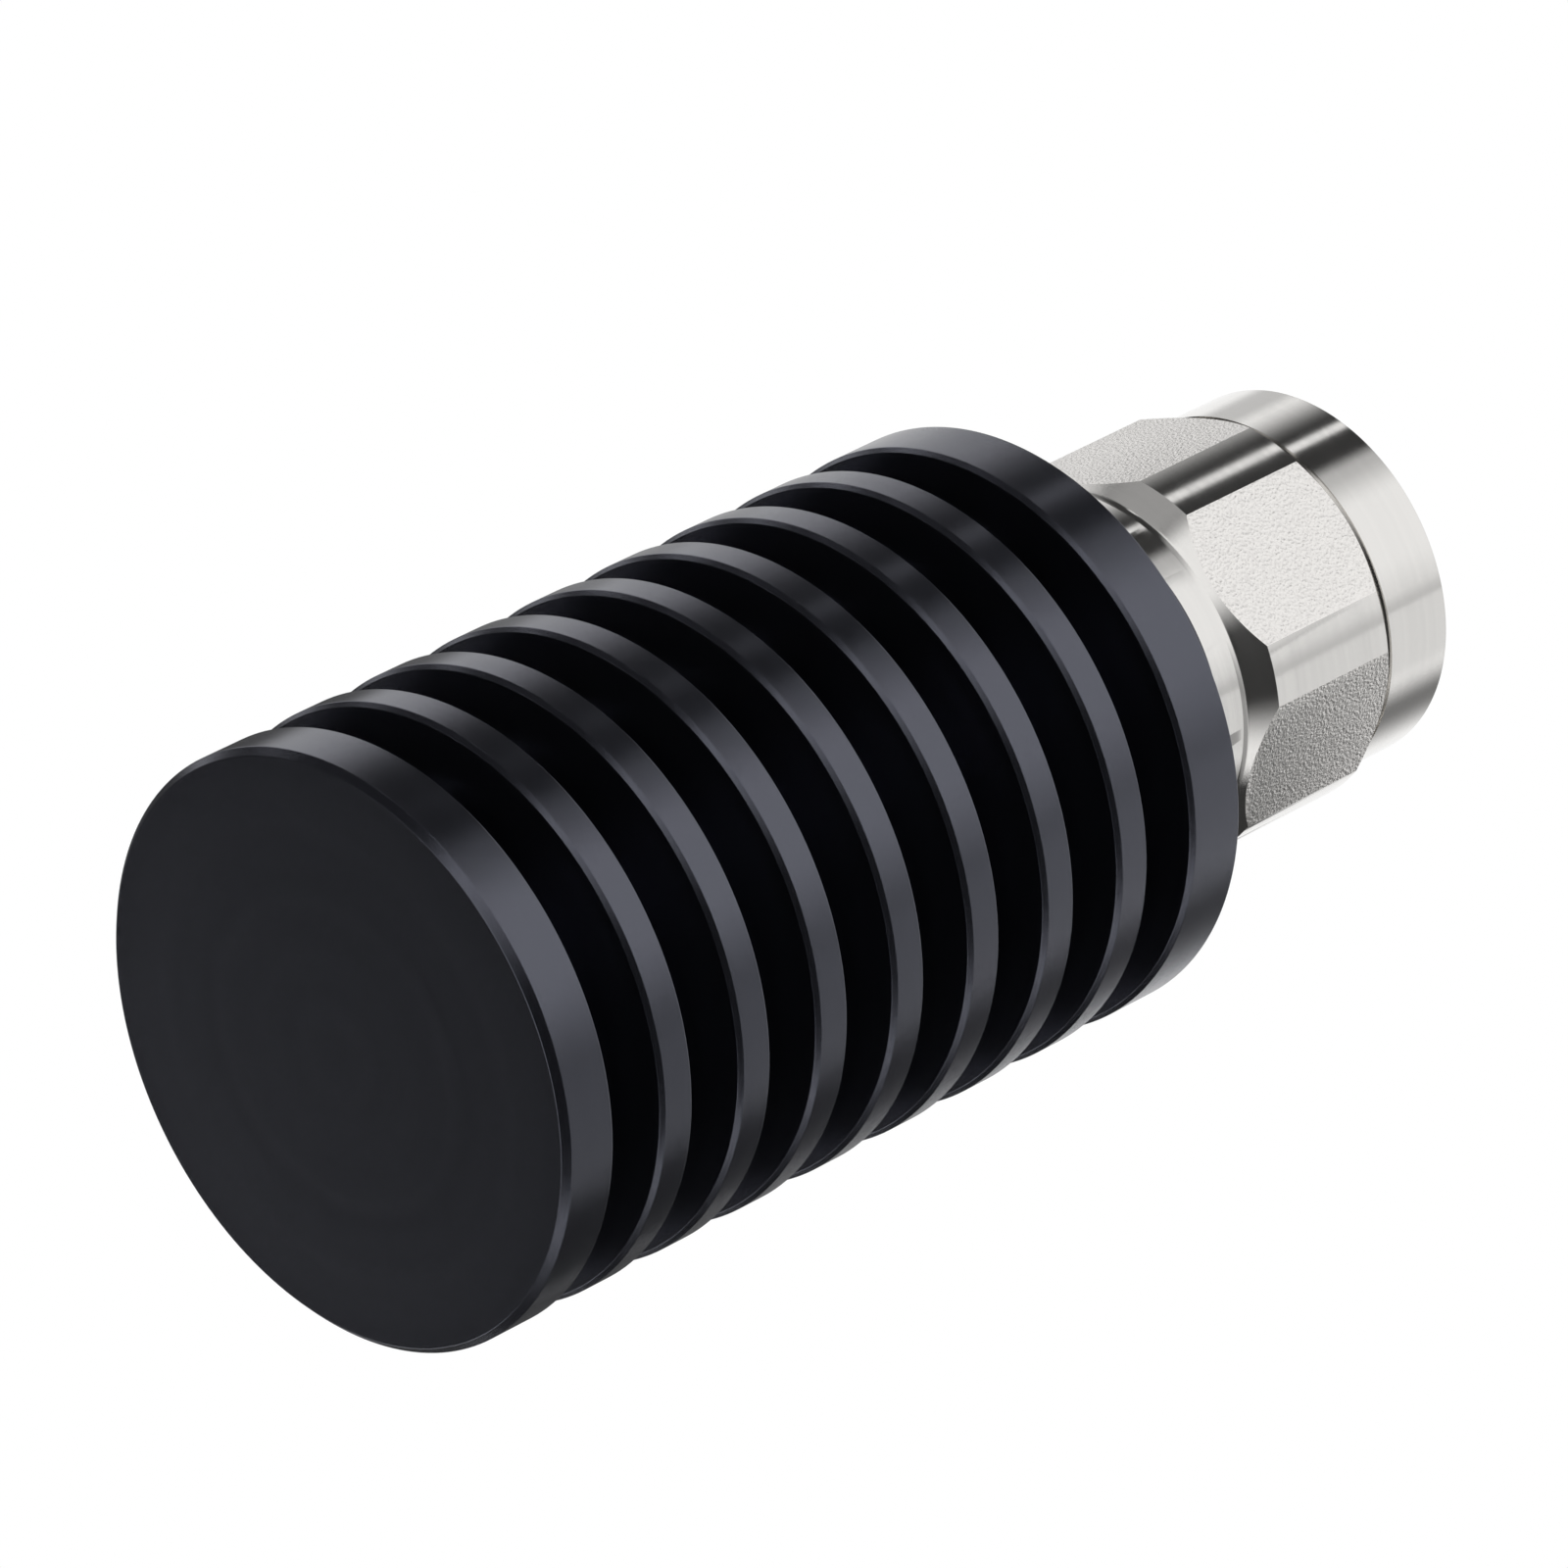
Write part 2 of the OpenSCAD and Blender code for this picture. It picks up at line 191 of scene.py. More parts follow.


# the flats: a fine cast-like pebble left by blasting, as bumps, with painted shade: the pebble's hollows get
# the darker colour
def pebbledMetal():
    material, tree, output = newMaterial("pebbledStainless")
    shader = addNode(tree, "ShaderNodeBsdfPrincipled", (600, 0), Metallic=1.0)
    place = addNode(tree, "ShaderNodeTexCoord", (-600, 0))
    noise = addNode(tree, "ShaderNodeTexNoise", (-350, 0), Scale=pebbleLook["scale"], Detail=2.0,
                    Roughness=0.4)
    tree.links.new(place.outputs["Object"], noise.inputs["Vector"])
    tint = addNode(tree, "ShaderNodeMix", (250, 200))
    tint.data_type = "RGBA"
    tint.inputs[6].default_value = (*pebbleLook["colour2"], 1)
    tint.inputs[7].default_value = (*pebbleLook["colour"], 1)
    # painted shade: the same noise that raises the bumps darkens the colour where it is low, in the hollows
    crest = addNode(tree, "ShaderNodeMapRange", (-50, 200))
    crest.inputs[1].default_value, crest.inputs[2].default_value = pebbleLook["crest"]
    tree.links.new(noise.outputs[0], crest.inputs[0])
    tree.links.new(crest.outputs[0], tint.inputs[0])
    tree.links.new(tint.outputs[2], shader.inputs["Base Color"])
    rough = addNode(tree, "ShaderNodeMapRange", (250, 0))
    rough.inputs[3].default_value, rough.inputs[4].default_value = pebbleLook["rough"]
    tree.links.new(noise.outputs[0], rough.inputs[0])
    tree.links.new(rough.outputs[0], shader.inputs["Roughness"])
    bump = addNode(tree, "ShaderNodeBump", (250, -250), Strength=pebbleLook["bump"],
                   Distance=pebbleLook["depth"])
    tree.links.new(noise.outputs[0], bump.inputs["Height"])
    tree.links.new(bump.outputs[0], shader.inputs["Normal"])
    tree.links.new(shader.outputs[0], output.inputs[0])
    return material


pebbled = pebbledMetal()

anodisedLook = {"colour": (0.0024, 0.0025, 0.0034), "fleck": (0.02, 0.02, 0.022), "ior": 2.09,
                "sheen": (0.79, 0.822, 1.0), "rough": (0.17, 0.24), "fine": 6000.0, "coarse": 700.0,
                "bump": 0.12, "depth": 0.000003, "fleckScale": 5200.0, "fleckShare": (0.74, 0.80)}


def anodisedMetal():
    material, tree, output = newMaterial("blackAnodised")
    shader = addNode(tree, "ShaderNodeBsdfPrincipled", (600, 0))
    shader.inputs["IOR"].default_value = anodisedLook["ior"]
    shader.inputs["Specular Tint"].default_value = (*anodisedLook["sheen"], 1)
    place = addNode(tree, "ShaderNodeTexCoord", (-600, 0))
    marks = useGroup(tree, turningMarks, (-350, 0), Fine=anodisedLook["fine"], Coarse=anodisedLook["coarse"])
    tree.links.new(place.outputs["Object"], marks.inputs["Place"])
    flecks = addNode(tree, "ShaderNodeTexNoise", (-350, 300), Scale=anodisedLook["fleckScale"], Detail=1.0)
    tree.links.new(place.outputs["Object"], flecks.inputs["Vector"])
    seldom = addNode(tree, "ShaderNodeMapRange", (-50, 300))
    seldom.inputs[1].default_value, seldom.inputs[2].default_value = anodisedLook["fleckShare"]
    tree.links.new(flecks.outputs[0], seldom.inputs[0])
    tint = addNode(tree, "ShaderNodeMix", (250, 200))
    tint.data_type = "RGBA"
    tint.inputs[6].default_value = (*anodisedLook["colour"], 1)
    tint.inputs[7].default_value = (*anodisedLook["fleck"], 1)
    tree.links.new(seldom.outputs[0], tint.inputs[0])
    tree.links.new(tint.outputs[2], shader.inputs["Base Color"])
    even = addNode(tree, "ShaderNodeMapRange", (250, 0))
    even.inputs[3].default_value, even.inputs[4].default_value = anodisedLook["rough"]
    tree.links.new(marks.outputs["Streaks"], even.inputs[0])
    tree.links.new(even.outputs[0], shader.inputs["Roughness"])
    bump = addNode(tree, "ShaderNodeBump", (250, -250), Strength=anodisedLook["bump"],
                   Distance=anodisedLook["depth"])
    tree.links.new(marks.outputs["Height"], bump.inputs["Height"])
    tree.links.new(bump.outputs[0], shader.inputs["Normal"])
    tree.links.new(shader.outputs[0], output.inputs[0])
    return material


anodised = anodisedMetal()


def mouldedMaterial(name, look):
    material, tree, output = newMaterial(name)
    shader = addNode(tree, "ShaderNodeBsdfPrincipled", (600, 0))
    shader.inputs["Subsurface Weight"].default_value = look.get("inner", 0.0)
    shader.inputs["Subsurface Scale"].default_value = 0.0005
    place = addNode(tree, "ShaderNodeTexCoord", (-600, 0))
    noise = addNode(tree, "ShaderNodeTexNoise", (-350, 0), Scale=look["scale"], Detail=3.0)
    tree.links.new(place.outputs["Object"], noise.inputs["Vector"])
    tint = addNode(tree, "ShaderNodeMix", (250, 200))
    tint.data_type = "RGBA"
    tint.inputs[6].default_value = (*look["colour"], 1)
    tint.inputs[7].default_value = (*look["colour2"], 1)
    tree.links.new(noise.outputs[0], tint.inputs[0])
    tree.links.new(tint.outputs[2], shader.inputs["Base Color"])
    rough = addNode(tree, "ShaderNodeMapRange", (250, 0))
    rough.inputs[3].default_value, rough.inputs[4].default_value = look["rough"]
    tree.links.new(noise.outputs[0], rough.inputs[0])
    tree.links.new(rough.outputs[0], shader.inputs["Roughness"])
    bump = addNode(tree, "ShaderNodeBump", (250, -250), Strength=0.2, Distance=0.000005)
    tree.links.new(noise.outputs[0], bump.inputs["Height"])
    tree.links.new(bump.outputs[0], shader.inputs["Normal"])
    tree.links.new(shader.outputs[0], output.inputs[0])
    return material


silicone = mouldedMaterial("redSilicone", {"colour": (0.60, 0.075, 0.03), "colour2": (0.48, 0.055, 0.022),
                                           "scale": 2500.0, "rough": (0.38, 0.5), "inner": 0.1})
beadPlastic = mouldedMaterial("beadPlastic", {"colour": (0.84, 0.82, 0.75), "colour2": (0.78, 0.76, 0.69),
                                              "scale": 3000.0, "rough": (0.35, 0.5), "inner": 0.1})
resistor = mouldedMaterial("resistorFilm", {"colour": (0.30, 0.28, 0.28), "colour2": (0.24, 0.225, 0.225),
                                            "scale": 4000.0, "rough": (0.3, 0.45)})
print("materials made")


def deselectAll():
    if bpy.context.object and bpy.context.object.mode != "OBJECT":
        bpy.ops.object.mode_set(mode="OBJECT")
    bpy.ops.object.select_all(action="DESELECT")


# draws a half section from one point with extrude, then spins it round Z
def turnedPiece(name, section, steps):
    deselectAll()
    bpy.ops.mesh.primitive_plane_add(size=0.001, location=(0, 0, 0))
    piece = bpy.context.object
    piece.name = name
    piece.data.name = name
    bpy.ops.object.mode_set(mode="EDIT")
    bpy.ops.mesh.select_mode(type="VERT")
    bpy.ops.mesh.select_all(action="SELECT")
    bpy.ops.mesh.merge(type="CENTER")
    bpy.ops.transform.translate(value=(section[0][0] * mm, 0, section[0][1] * mm))
    for (r0, z0), (r1, z1) in zip(section, section[1:]):
        bpy.ops.mesh.extrude_vertices_move(
            TRANSFORM_OT_translate={"value": ((r1 - r0) * mm, 0, (z1 - z0) * mm)})
    bpy.ops.mesh.select_all(action="SELECT")
    bpy.ops.mesh.spin(steps=steps, angle=2 * math.pi, center=(0, 0, 0), axis=(0, 0, 1))
    bpy.ops.mesh.select_all(action="SELECT")
    bpy.ops.mesh.remove_doubles(threshold=0.0000005)
    bpy.ops.mesh.normals_make_consistent(inside=False)
    bpy.ops.object.mode_set(mode="OBJECT")
    return piece


def applyModifier(piece, name):
    deselectAll()
    piece.select_set(True)
    bpy.context.view_layer.objects.active = piece
    bpy.ops.object.modifier_apply(modifier=name)


def easeEdges(piece, width, segments=1, angle=20):
    edge = piece.modifiers.new("edges", "BEVEL")
    edge.width = width * mm
    edge.segments = segments
    edge.limit_method = "ANGLE"
    edge.angle_limit = math.radians(angle)
    applyModifier(piece, "edges")


def smoothByAngle(piece, angle):
    deselectAll()
    piece.select_set(True)
    bpy.context.view_layer.objects.active = piece
    bpy.ops.object.shade_smooth_by_angle(angle=math.radians(angle))


sinkShape = {
    "radius": 16.0, "core": 10.5, "endDisc": 3.2, "fins": 7, "fin": 2.03, "groove": 3.5, "frontDisc": 3.5,
    "chamfer": 0.23, "rimBreak": 0.03, "endChamfer": 0.37, "rootRadius": 0.25,
    "floor": 8.0, "loadBore": 6.02, "tailBore": 6.52, "leadIn": 0.45, "tail": 8.0, "edge": 0.02, "steps": 192,
}


def sinkSection():
    s = sinkShape
    r, core, c, e, k = s["radius"], s["core"], s["chamfer"], s["rimBreak"], s["rootRadius"]
    quarterTurn = [math.radians(a) for a in (0, 30, 60, 90)]
    section = [(0, 0), (r - s["endChamfer"], 0), (r, s["endChamfer"])]
    z = s["endDisc"]
    for i in range(s["fins"] + 1):
        last = i == s["fins"]
        top = z + s["groove"] + (s["frontDisc"] if last else s["fin"])
        section += [(r, z - e), (r - e, z)]
        section += [(core + k * (1 - math.sin(t)), z + k * (1 - math.cos(t)))
                    for t in quarterTurn]
        section += [(core + k * (1 - math.cos(t)), z + s["groove"] - k * (1 - math.sin(t)))
                    for t in quarterTurn]
        section += [(r - c, z + s["groove"]), (r, z + s["groove"] + c)]
        z = top
    tail = z - s["tail"]
    section += [(r, z - e), (r - e, z), (s["tailBore"] + s["leadIn"], z), (s["tailBore"], z - s["leadIn"]),
                (s["tailBore"], tail), (s["loadBore"], tail), (s["loadBore"], s["floor"]), (0, s["floor"])]
    return section


heatSink = turnedPiece("finnedSink", sinkSection(), sinkShape["steps"])
easeEdges(heatSink, sinkShape["edge"], 1, 30)
heatSink.data.materials.append(anodised)
smoothByAngle(heatSink, 12)
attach(heatSink, "body")
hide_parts("heatsink")
print("heat sink turned:", len(heatSink.data.polygons), "faces")


nutShape = {
    "rear": 54.25, "collar": 10.0, "fillet": 56.0, "filletRadius": 0.6, "rearCone": 35,
    "support": 0.05,  # support rings keep the shading flat beside the fillet
    "land": 11.03, "landRear": 57.66, "landLength": 8.54, "flat": 10.28, "frontCone": 42,
    "relief": 10.1, "reliefWidth": 0.27, "sleeve": 10.3, "sleeveLength": 4.4, "chamfer": 0.1,
    "bore": 8.08, "ringGroove": 8.97, "ringFrom": 55.16, "ringTo": 56.46,
    "mouth": 8.1, "mouthLength": 1.2, "edge": 0.03, "steps": 192,
    # the thread, its run-in at both ends and its ridge
    "threadFrom": 58.76, "threadRoot": 7.99, "threadCrest": 7.42, "pitch": 1.0583,
    "runIn": (0.09, 0.11), "threadInset": (0.2, 0.25), "ridgeSeat": 0.015, "ridgeFoot": 0.92,
    "ridgeTop": 0.16, "turnSteps": 96, "runOut": 40, "leastRidge": 0.02,
    # the tool that cuts the flats, and how far a face may be off and still belong to one
    "toolMargin": 1.0, "toolRadius": 14.0, "toolLength": 12.0, "slack": 0.02, "near": 0.01,
}


def nutPlanes():
    n = nutShape
    landFront = n["landRear"] + n["landLength"]
    relief = landFront + (n["land"] - n["flat"]) / math.tan(math.radians(n["frontCone"]))
    sleeve = relief + n["reliefWidth"]
    return landFront, relief, sleeve, sleeve + n["sleeveLength"]


def nutSection():
    n = nutShape
    landFront, relief, sleeve, mouth = nutPlanes()
    c, k = n["chamfer"], n["filletRadius"]
    section = [(n["bore"] + c, n["rear"]), (n["collar"] - c, n["rear"]), (n["collar"], n["rear"] + c),
               (n["collar"], n["fillet"] - n["support"])]
    for i in range(7):
        a = math.radians(n["rearCone"] * i / 6)
        section.append((n["collar"] + k * (1 - math.cos(a)), n["fillet"] + k * math.sin(a)))
    (r0, z0), share = section[-1], n["support"]
    section.append((r0 + (n["land"] - r0) * share, z0 + (n["landRear"] - z0) * share))
    section += [
        (n["land"], n["landRear"]), (n["land"], landFront), (n["flat"], relief), (n["relief"], relief),
        (n["relief"], sleeve), (n["sleeve"], sleeve), (n["sleeve"], mouth - c), (n["sleeve"] - c, mouth),
        (n["mouth"] + c, mouth), (n["mouth"], mouth - c), (n["mouth"], mouth - n["mouthLength"]),
        (n["threadRoot"], mouth - n["mouthLength"] - n["runIn"][1]),
        (n["threadRoot"], n["threadFrom"] + n["runIn"][0]), (n["bore"], n["threadFrom"]),
        (n["bore"], n["ringTo"]), (n["ringGroove"], n["ringTo"]), (n["ringGroove"], n["ringFrom"]),
        (n["bore"], n["ringFrom"]), (n["bore"], n["rear"] + c), (n["bore"] + c, n["rear"]),
    ]
    return section


def cutFlats(nut):
    n = nutShape
    landFront, relief, sleeve, mouth = nutPlanes()
    length = relief + n["reliefWidth"] / 2 - n["rear"] + n["toolMargin"]
    deselectAll()
    bpy.ops.mesh.primitive_cylinder_add(
        vertices=6, radius=n["flat"] * mm / math.cos(math.radians(30)), depth=length * mm,
        location=(0, 0, (n["rear"] - n["toolMargin"] + length / 2) * mm), rotation=(0, 0, math.radians(30)))
    hexagon = bpy.context.object
    bpy.ops.object.transform_apply(location=True, rotation=True, scale=True)
    # the front half of the tool is opened out, so that the sleeve stays round
    bpy.ops.mesh.primitive_cylinder_add(
        vertices=24, radius=n["toolRadius"] * mm, depth=n["toolLength"] * mm,
        location=(0, 0, (relief + n["reliefWidth"] / 4) * mm + n["toolLength"] * mm / 2))
    front = bpy.context.object
    bpy.ops.object.transform_apply(location=True, rotation=True, scale=True)
    joinTool = hexagon.modifiers.new("join", "BOOLEAN")
    joinTool.operation = "UNION"
    joinTool.object = front
    applyModifier(hexagon, "join")
    cut = nut.modifiers.new("flats", "BOOLEAN")
    cut.operation = "INTERSECT"
    cut.object = hexagon
    applyModifier(nut, "flats")
    bpy.data.objects.remove(front)
    bpy.data.objects.remove(hexagon)


nut = turnedPiece("hexNut", nutSection(), nutShape["steps"])
cutFlats(nut)
nut.data.materials.append(stainless)
nut.data.materials.append(pebbled)
for face in nut.data.polygons:
    middle, facing = face.center / mm, face.normal
    reach = math.hypot(middle.x, middle.y)
    slack = nutShape["slack"]
    onFlat = abs(facing.z) < slack and reach < nutShape["land"] and middle.z < nutPlanes()[1] + slack
    along = facing.x * middle.x + facing.y * middle.y
    if onFlat and abs(along - nutShape["flat"]) < nutShape["near"]:
        face.material_index = 1
easeEdges(nut, nutShape["edge"], 1, 16)
smoothByAngle(nut, 12)
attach(nut, "nut")
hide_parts("coupling_nut")
print("nut cut:", len(nut.data.polygons), "faces")


# the thread is one ridge, extruded round the bore and climbing one pitch a turn
def makeThread():
    n = nutShape
    mouth = nutPlanes()[3]
    inset, foot, top = n["threadInset"], n["ridgeFoot"] * n["pitch"] / 2, n["ridgeTop"] * n["pitch"] / 2
    low, high = n["threadFrom"] + inset[0], mouth - n["mouthLength"] - inset[1]
    root, crest = n["threadRoot"] + n["ridgeSeat"], n["threadCrest"]
    turns = (high - low) / n["pitch"] - 0.9
    deselectAll()
    bpy.ops.mesh.primitive_plane_add(size=0.001, location=(0, 0, 0))
    ridge = bpy.context.object
    ridge.name = "nutThread"
    ridge.data.name = "nutThread"
    bpy.ops.object.mode_set(mode="EDIT")
    bpy.ops.mesh.select_mode(type="VERT")
    bpy.ops.mesh.select_all(action="SELECT")
    bpy.ops.mesh.merge(type="CENTER")
    start = low + n["pitch"] / 2
    section = [(root, start - foot), (crest, start - top), (crest, start + top), (root, start + foot),
               (root, start - foot)]
    bpy.ops.transform.translate(value=(section[0][0] * mm, 0, section[0][1] * mm))
    for (r0, z0), (r1, z1) in zip(section, section[1:]):
        bpy.ops.mesh.extrude_vertices_move(
            TRANSFORM_OT_translate={"value": ((r1 - r0) * mm, 0, (z1 - z0) * mm)})
    bpy.ops.mesh.select_all(action="SELECT")
    bpy.ops.mesh.remove_doubles(threshold=0.0000005)
    bpy.ops.object.mode_set(mode="OBJECT")
    climb = ridge.modifiers.new("climb", "SCREW")
    climb.axis = "Z"
    climb.angle = 2 * math.pi * turns
    climb.screw_offset = n["pitch"] * turns * mm
    climb.steps = climb.render_steps = int(n["turnSteps"] * turns)
    climb.use_smooth_shade = False
    applyModifier(ridge, "climb")
    # both ends of the ridge run out into the bore
    corners = len(section) - 1
    last = len(ridge.data.vertices) // corners - 1
    for i, corner in enumerate(ridge.data.vertices):
        reach = math.hypot(corner.co.x, corner.co.y) / mm
        fade = min(1.0, (i // corners) / n["runOut"], (last - i // corners) / n["runOut"])
        if reach < root - n["near"] and fade < 1:
            wanted = root - (root - reach) * max(fade, n["leastRidge"])
            corner.co.x *= wanted / reach
            corner.co.y *= wanted / reach
    bpy.ops.object.mode_set(mode="EDIT")
    bpy.ops.mesh.select_all(action="SELECT")
    bpy.ops.mesh.normals_make_consistent(inside=False)
    bpy.ops.object.mode_set(mode="OBJECT")
    return ridge


thread = makeThread()
thread.data.materials.append(stainless)
smoothByAngle(thread, 25)
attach(thread, "nut")
print("thread cut:", len(thread.data.polygons), "faces")


finishes = {
    "connector_body": stainless, "outer_contact": stainless, "snap_ring": springSteel,
    "sealing_gasket": silicone, "centre_pin": gold, "support_bead": beadPlastic,
    "rear_conductor": gold, "resistor_rod": resistor, "front_cap": silver, "rear_cap": silver,
    "tapered_sleeve": brass, "ground_collet": brass, "heatsink": anodised, "coupling_nut": stainless,
}
for name, finish in finishes.items():
    nodes[name].material_slots[0].material = finish
print("solids finished")


studio = {
    "floor": (0.93, 0.93, 0.93), "floorSize": 2.4, "floorZ": -0.0003,
    "plain": 0.72,        # the world's level for everything but the background
    "flagDistance": 0.85,
    "lampAim": (0, 0, 0.03),
    # name: place in metres, width in metres, power in watts
    "lamps": {
        "keyLamp": ((-0.45, -0.35, 0.75), 0.5, 4.0),
        "fillLamp": ((0.6, -0.3, 0.35), 0.6, 1.6),
        "lowLamp": ((0.1, -0.6, -0.5), 0.5, 1.6),
    },
    # name: four azimuths from the camera (clear, dark, dark, clear), four heights in metres, level, cover
    "flags": {
        "flagCone": (-98, -90, -60, -50, -0.43, -0.38, -0.14, -0.06, 0.37, 1.0),
        "flagFarLeft": (-148, -132, -120, -106, 0.775, 0.815, 1.2, 1.6, 0.3, 0.55),
        "flagHighLeft": (-190, -168, -114, -96, 0.88, 1.0, 2.2, 2.8, 0.08, 1.0),
        "flagLeft": (-112, -80, -76.8, -73.4, -0.30, -0.10, 1.6, 2.2, 0.045, 1.0),
        "flagLeftSlit": (-122, -78, -68, -62, -0.10, 0.10, 0.755, 0.775, 0.04, 1.0),
        "flagLeftNear": (-70.8, -67.2, -54, -44, -0.25, 0.00, 1.6, 2.2, 0.04, 1.0),
        "flagLeftSoft": (-58, -52, -44, -20, -0.20, 0.05, 1.6, 2.2, 0.25, 0.58),
        "flagLeftLow": (-60, -54, -50, -20, -0.20, 0.05, 0.755, 0.775, 0.04, 0.55),
        "flagRightLow": (82, 98, 128, 160, -0.54, -0.10, 0.70, 0.79, 0.04, 1.0),
        "flagRight": (86, 111, 114, 154, -0.54, -0.10, 0.90, 1.05, 0.21, 1.0),
        "flagVeil": (14, 44, 80, 96, -0.20, 0.20, 1.6, 2.2, 0.3, 0.25),
        "flagVeilLow": (8, 42, 86, 102, -0.10, 0.10, 0.755, 0.775, 0.2, 0.78),
        "flagLine": (34, 44, 44.6, 46, -0.20, 0.10, 1.6, 2.2, 0.35, 0.42),
        "flagBehind": (130, 150, 212, 226, 0.0, 0.05, 0.66, 0.79, 0.10, 1.0),
        "flagBehindLow": (125, 140, 220, 235, -2.4, -2.2, -0.56, -0.44, 0.05, 1.0),
        "flagLowLeft": (-140, -120, -58, -42, -2.4, -2.0, -0.32, -0.16, 0.05, 1.0),
        "flagLowFar": (-180, -165, -124, -112, -1.2, -1.0, -0.10, 0.0, 0.08, 1.0),
        "flagLowRight": (-44, 14, 84, 124, -2.4, -2.0, -0.56, -0.46, 0.03, 1.0),
        "flagConeRight": (-14, 14, 48, 78, -0.50, -0.42, -0.15, 0.10, 0.04, 1.0),
    },
}


def makeFloor():
    deselectAll()
    size = studio["floorSize"]
    bpy.ops.mesh.primitive_grid_add(x_subdivisions=2, y_subdivisions=2, size=size,
                                    location=(0, 0, studio["floorZ"]))
    floor = bpy.context.object
    floor.name = "studioFloor"
    material, tree, output = newMaterial("paleFloor")
    matt = addNode(tree, "ShaderNodeBsdfDiffuse", (0, 100))
    matt.inputs["Color"].default_value = (*studio["floor"], 1)
    clear = addNode(tree, "ShaderNodeBsdfTransparent", (0, -100))
    path = addNode(tree, "ShaderNodeLightPath", (-500, 100))
    side = addNode(tree, "ShaderNodeNewGeometry", (-500, -200))
    upper = mathNode(tree, "SUBTRACT", 1.0, side.outputs["Backfacing"], (-300, -200))
    seen = mathNode(tree, "MULTIPLY", path.outputs["Is Camera Ray"], upper, (-100, 0))
    mix = addNode(tree, "ShaderNodeMixShader", (300, 0))
    tree.links.new(seen, mix.inputs[0])
    tree.links.new(clear.outputs[0], mix.inputs[1])
    tree.links.new(matt.outputs[0], mix.inputs[2])
    tree.links.new(mix.outputs[0], output.inputs[0])
    floor.data.materials.append(material)


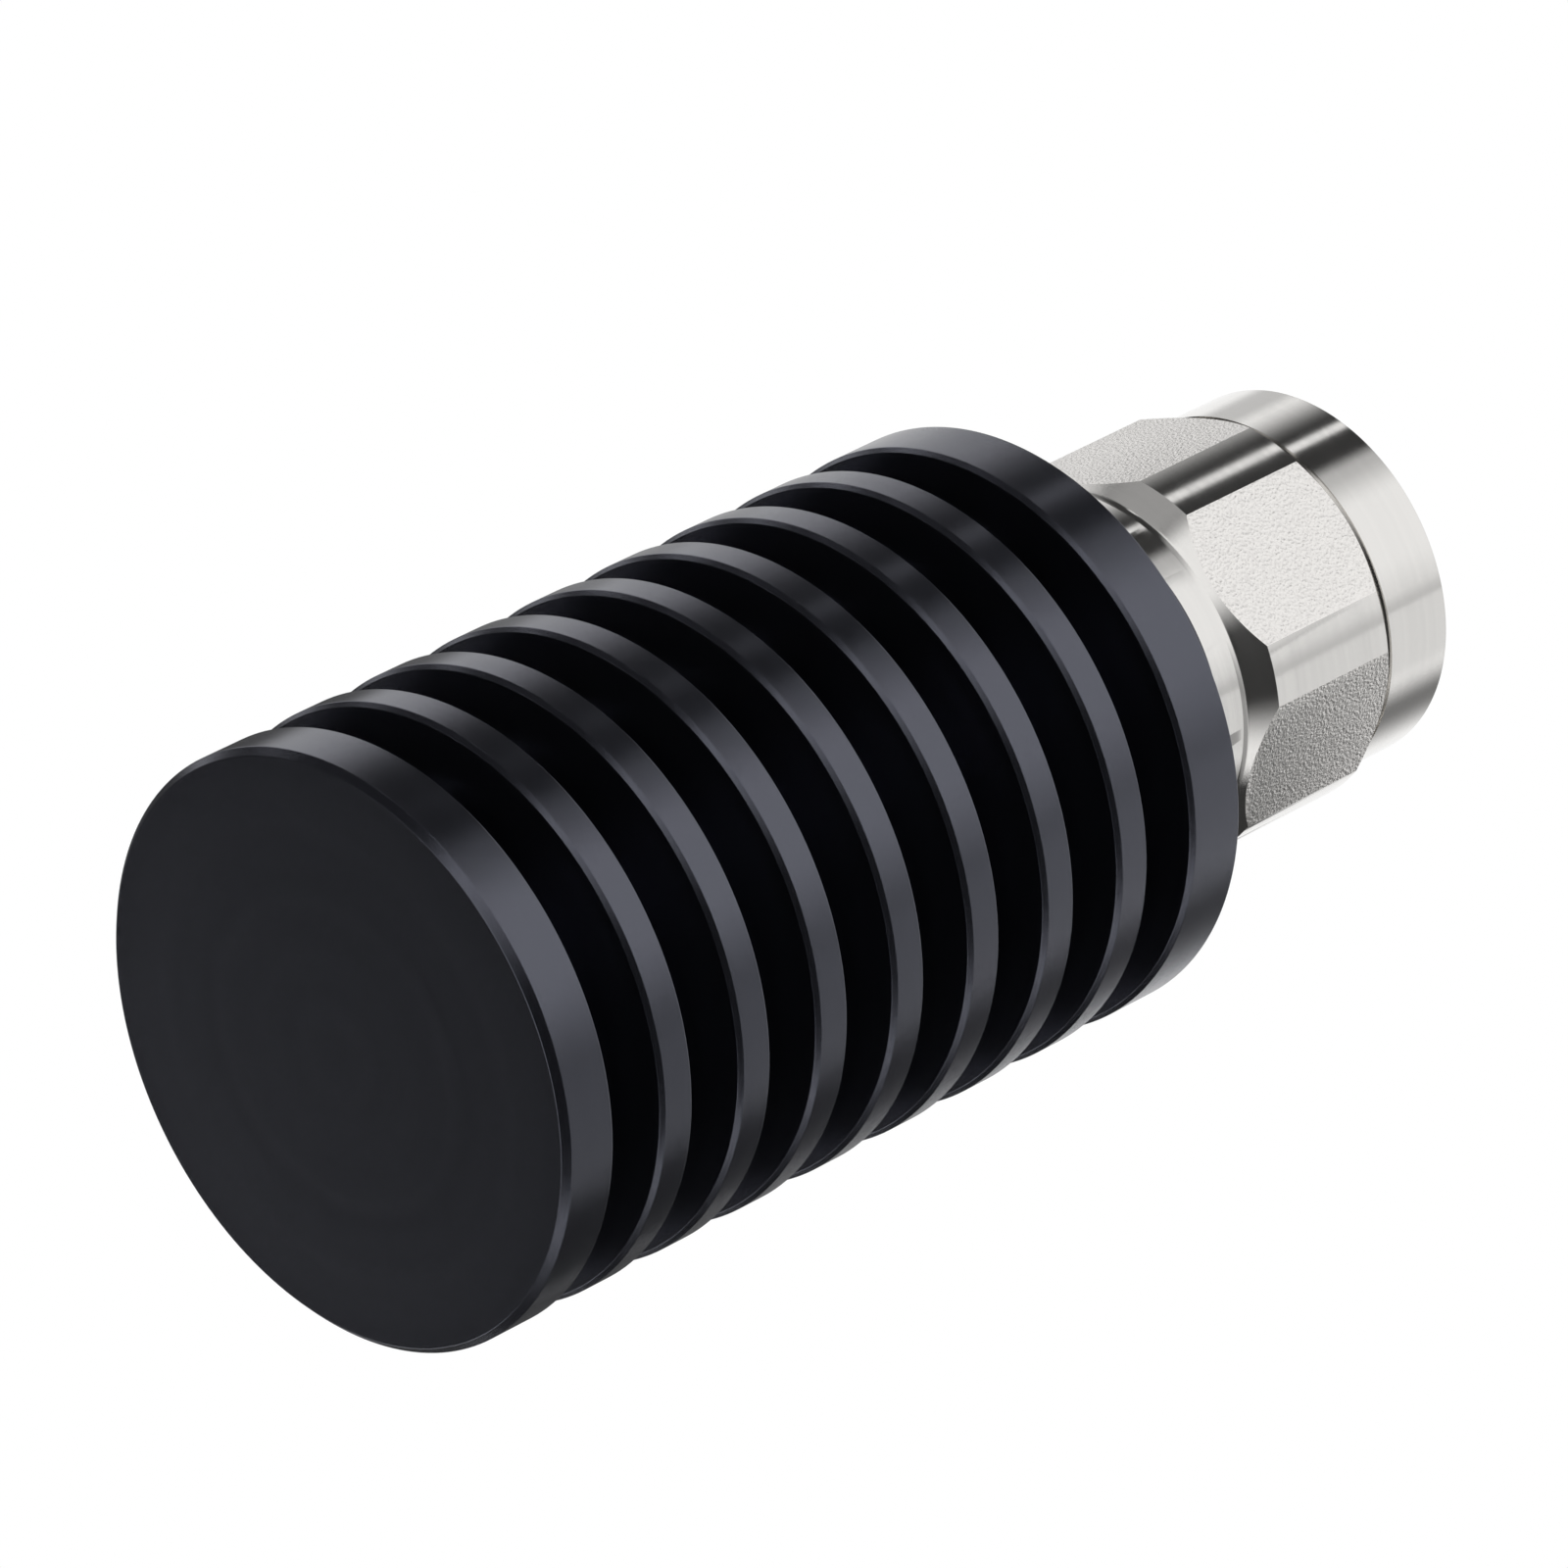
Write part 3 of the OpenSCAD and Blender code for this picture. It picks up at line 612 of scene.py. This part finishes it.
# a curved card with soft edges, which only reflections see
def makeFlag(name, plan, order):
    far = studio["flagDistance"] + 0.002 * order  # each card hangs a little behind the one before
    az, level, cover = plan[:4], plan[8], plan[9]
    height = [h * far / studio["flagDistance"] for h in plan[4:8]]
    start = math.radians(cameraPlan["azimuth"] + az[0])
    deselectAll()
    bpy.ops.mesh.primitive_plane_add(size=0.001, location=(0, 0, 0))
    flag = bpy.context.object
    flag.name = name
    bpy.ops.object.mode_set(mode="EDIT")
    bpy.ops.mesh.select_mode(type="VERT")
    bpy.ops.mesh.select_all(action="SELECT")
    bpy.ops.mesh.merge(type="CENTER")
    bpy.ops.transform.translate(value=(far * math.cos(start), far * math.sin(start), height[0]))
    for below, above in zip(height, height[1:]):
        bpy.ops.mesh.extrude_vertices_move(TRANSFORM_OT_translate={"value": (0, 0, above - below)})
    bpy.ops.mesh.select_all(action="SELECT")
    bpy.ops.mesh.spin(steps=24, angle=-math.radians(az[3] - az[0]), center=(0, 0, 0), axis=(0, 0, 1))
    bpy.ops.object.mode_set(mode="OBJECT")
    material, tree, output = newMaterial(name + "Cloth")
    dark = addNode(tree, "ShaderNodeEmission", (300, 100), Strength=1.0)
    dark.inputs["Color"].default_value = (level, level, level, 1)
    clear = addNode(tree, "ShaderNodeBsdfTransparent", (300, -100))
    place = addNode(tree, "ShaderNodeTexCoord", (-900, 0))
    turn = addNode(tree, "ShaderNodeVectorRotate", (-700, 0))
    turn.rotation_type = "Z_AXIS"
    middle = (az[0] + az[3]) / 2
    turn.inputs["Angle"].default_value = -math.radians(cameraPlan["azimuth"] + middle)
    tree.links.new(place.outputs["Object"], turn.inputs["Vector"])
    split = addNode(tree, "ShaderNodeSeparateXYZ", (-500, 0))
    tree.links.new(turn.outputs[0], split.inputs[0])
    angle = mathNode(tree, "ARCTAN2", split.outputs[1], split.outputs[0], (-300, 0))
    share = cover
    turned = [math.radians(a - middle) for a in az]
    for source, low, high, y in ((angle, turned[0], turned[1], 200), (angle, turned[3], turned[2], 50),
                                 (split.outputs[2], height[0], height[1], -100),
                                 (split.outputs[2], height[3], height[2], -250)):
        edge = addNode(tree, "ShaderNodeMapRange", (-100, y))
        edge.interpolation_type = "SMOOTHSTEP"
        edge.inputs[1].default_value, edge.inputs[2].default_value = low, high
        tree.links.new(source, edge.inputs[0])
        share = mathNode(tree, "MULTIPLY", edge.outputs[0], share, (100, y))
    mix = addNode(tree, "ShaderNodeMixShader", (600, 0))
    tree.links.new(share, mix.inputs[0])
    tree.links.new(clear.outputs[0], mix.inputs[1])
    tree.links.new(dark.outputs[0], mix.inputs[2])
    tree.links.new(mix.outputs[0], output.inputs[0])
    flag.data.materials.append(material)
    flag.visible_camera = False
    flag.visible_diffuse = False
    flag.visible_shadow = False
    flag.visible_transmission = False


def makeWorld():
    world = bpy.data.worlds.new("whiteStudio")
    bpy.context.scene.world = world
    world.use_nodes = True
    tree = world.node_tree
    tree.nodes.clear()
    output = addNode(tree, "ShaderNodeOutputWorld", (600, 0))
    white = addNode(tree, "ShaderNodeBackground", (200, 100), Strength=1.0)
    white.inputs["Color"].default_value = (1, 1, 1, 1)
    plain = addNode(tree, "ShaderNodeBackground", (200, -100), Strength=studio["plain"])
    plain.inputs["Color"].default_value = (1, 1, 1, 1)
    path = addNode(tree, "ShaderNodeLightPath", (-400, 0))
    seen = mathNode(tree, "MAXIMUM", path.outputs["Is Camera Ray"], path.outputs["Is Glossy Ray"], (-200, 50))
    seen = mathNode(tree, "MAXIMUM", seen, path.outputs["Is Transmission Ray"], (0, 50))
    mix = addNode(tree, "ShaderNodeMixShader", (400, 0))
    tree.links.new(seen, mix.inputs[0])
    tree.links.new(plain.outputs[0], mix.inputs[1])
    tree.links.new(white.outputs[0], mix.inputs[2])
    tree.links.new(mix.outputs[0], output.inputs[0])


def makeLamp(name, place, size, energy):
    data = bpy.data.lights.new(name, "AREA")
    data.shape = "SQUARE"
    data.size = size
    data.energy = energy
    lamp = bpy.data.objects.new(name, data)
    bpy.context.scene.collection.objects.link(lamp)
    lamp.location = place
    lamp.rotation_mode = "QUATERNION"
    lamp.rotation_quaternion = (Vector(studio["lampAim"]) - Vector(place)).to_track_quat("-Z", "Y")
    lamp.visible_glossy = False


makeFloor()
for order, (name, plan) in enumerate(studio["flags"].items()):
    makeFlag(name, plan, order)
makeWorld()
for name, (place, size, energy) in studio["lamps"].items():
    makeLamp(name, place, size, energy)
print("studio lit")
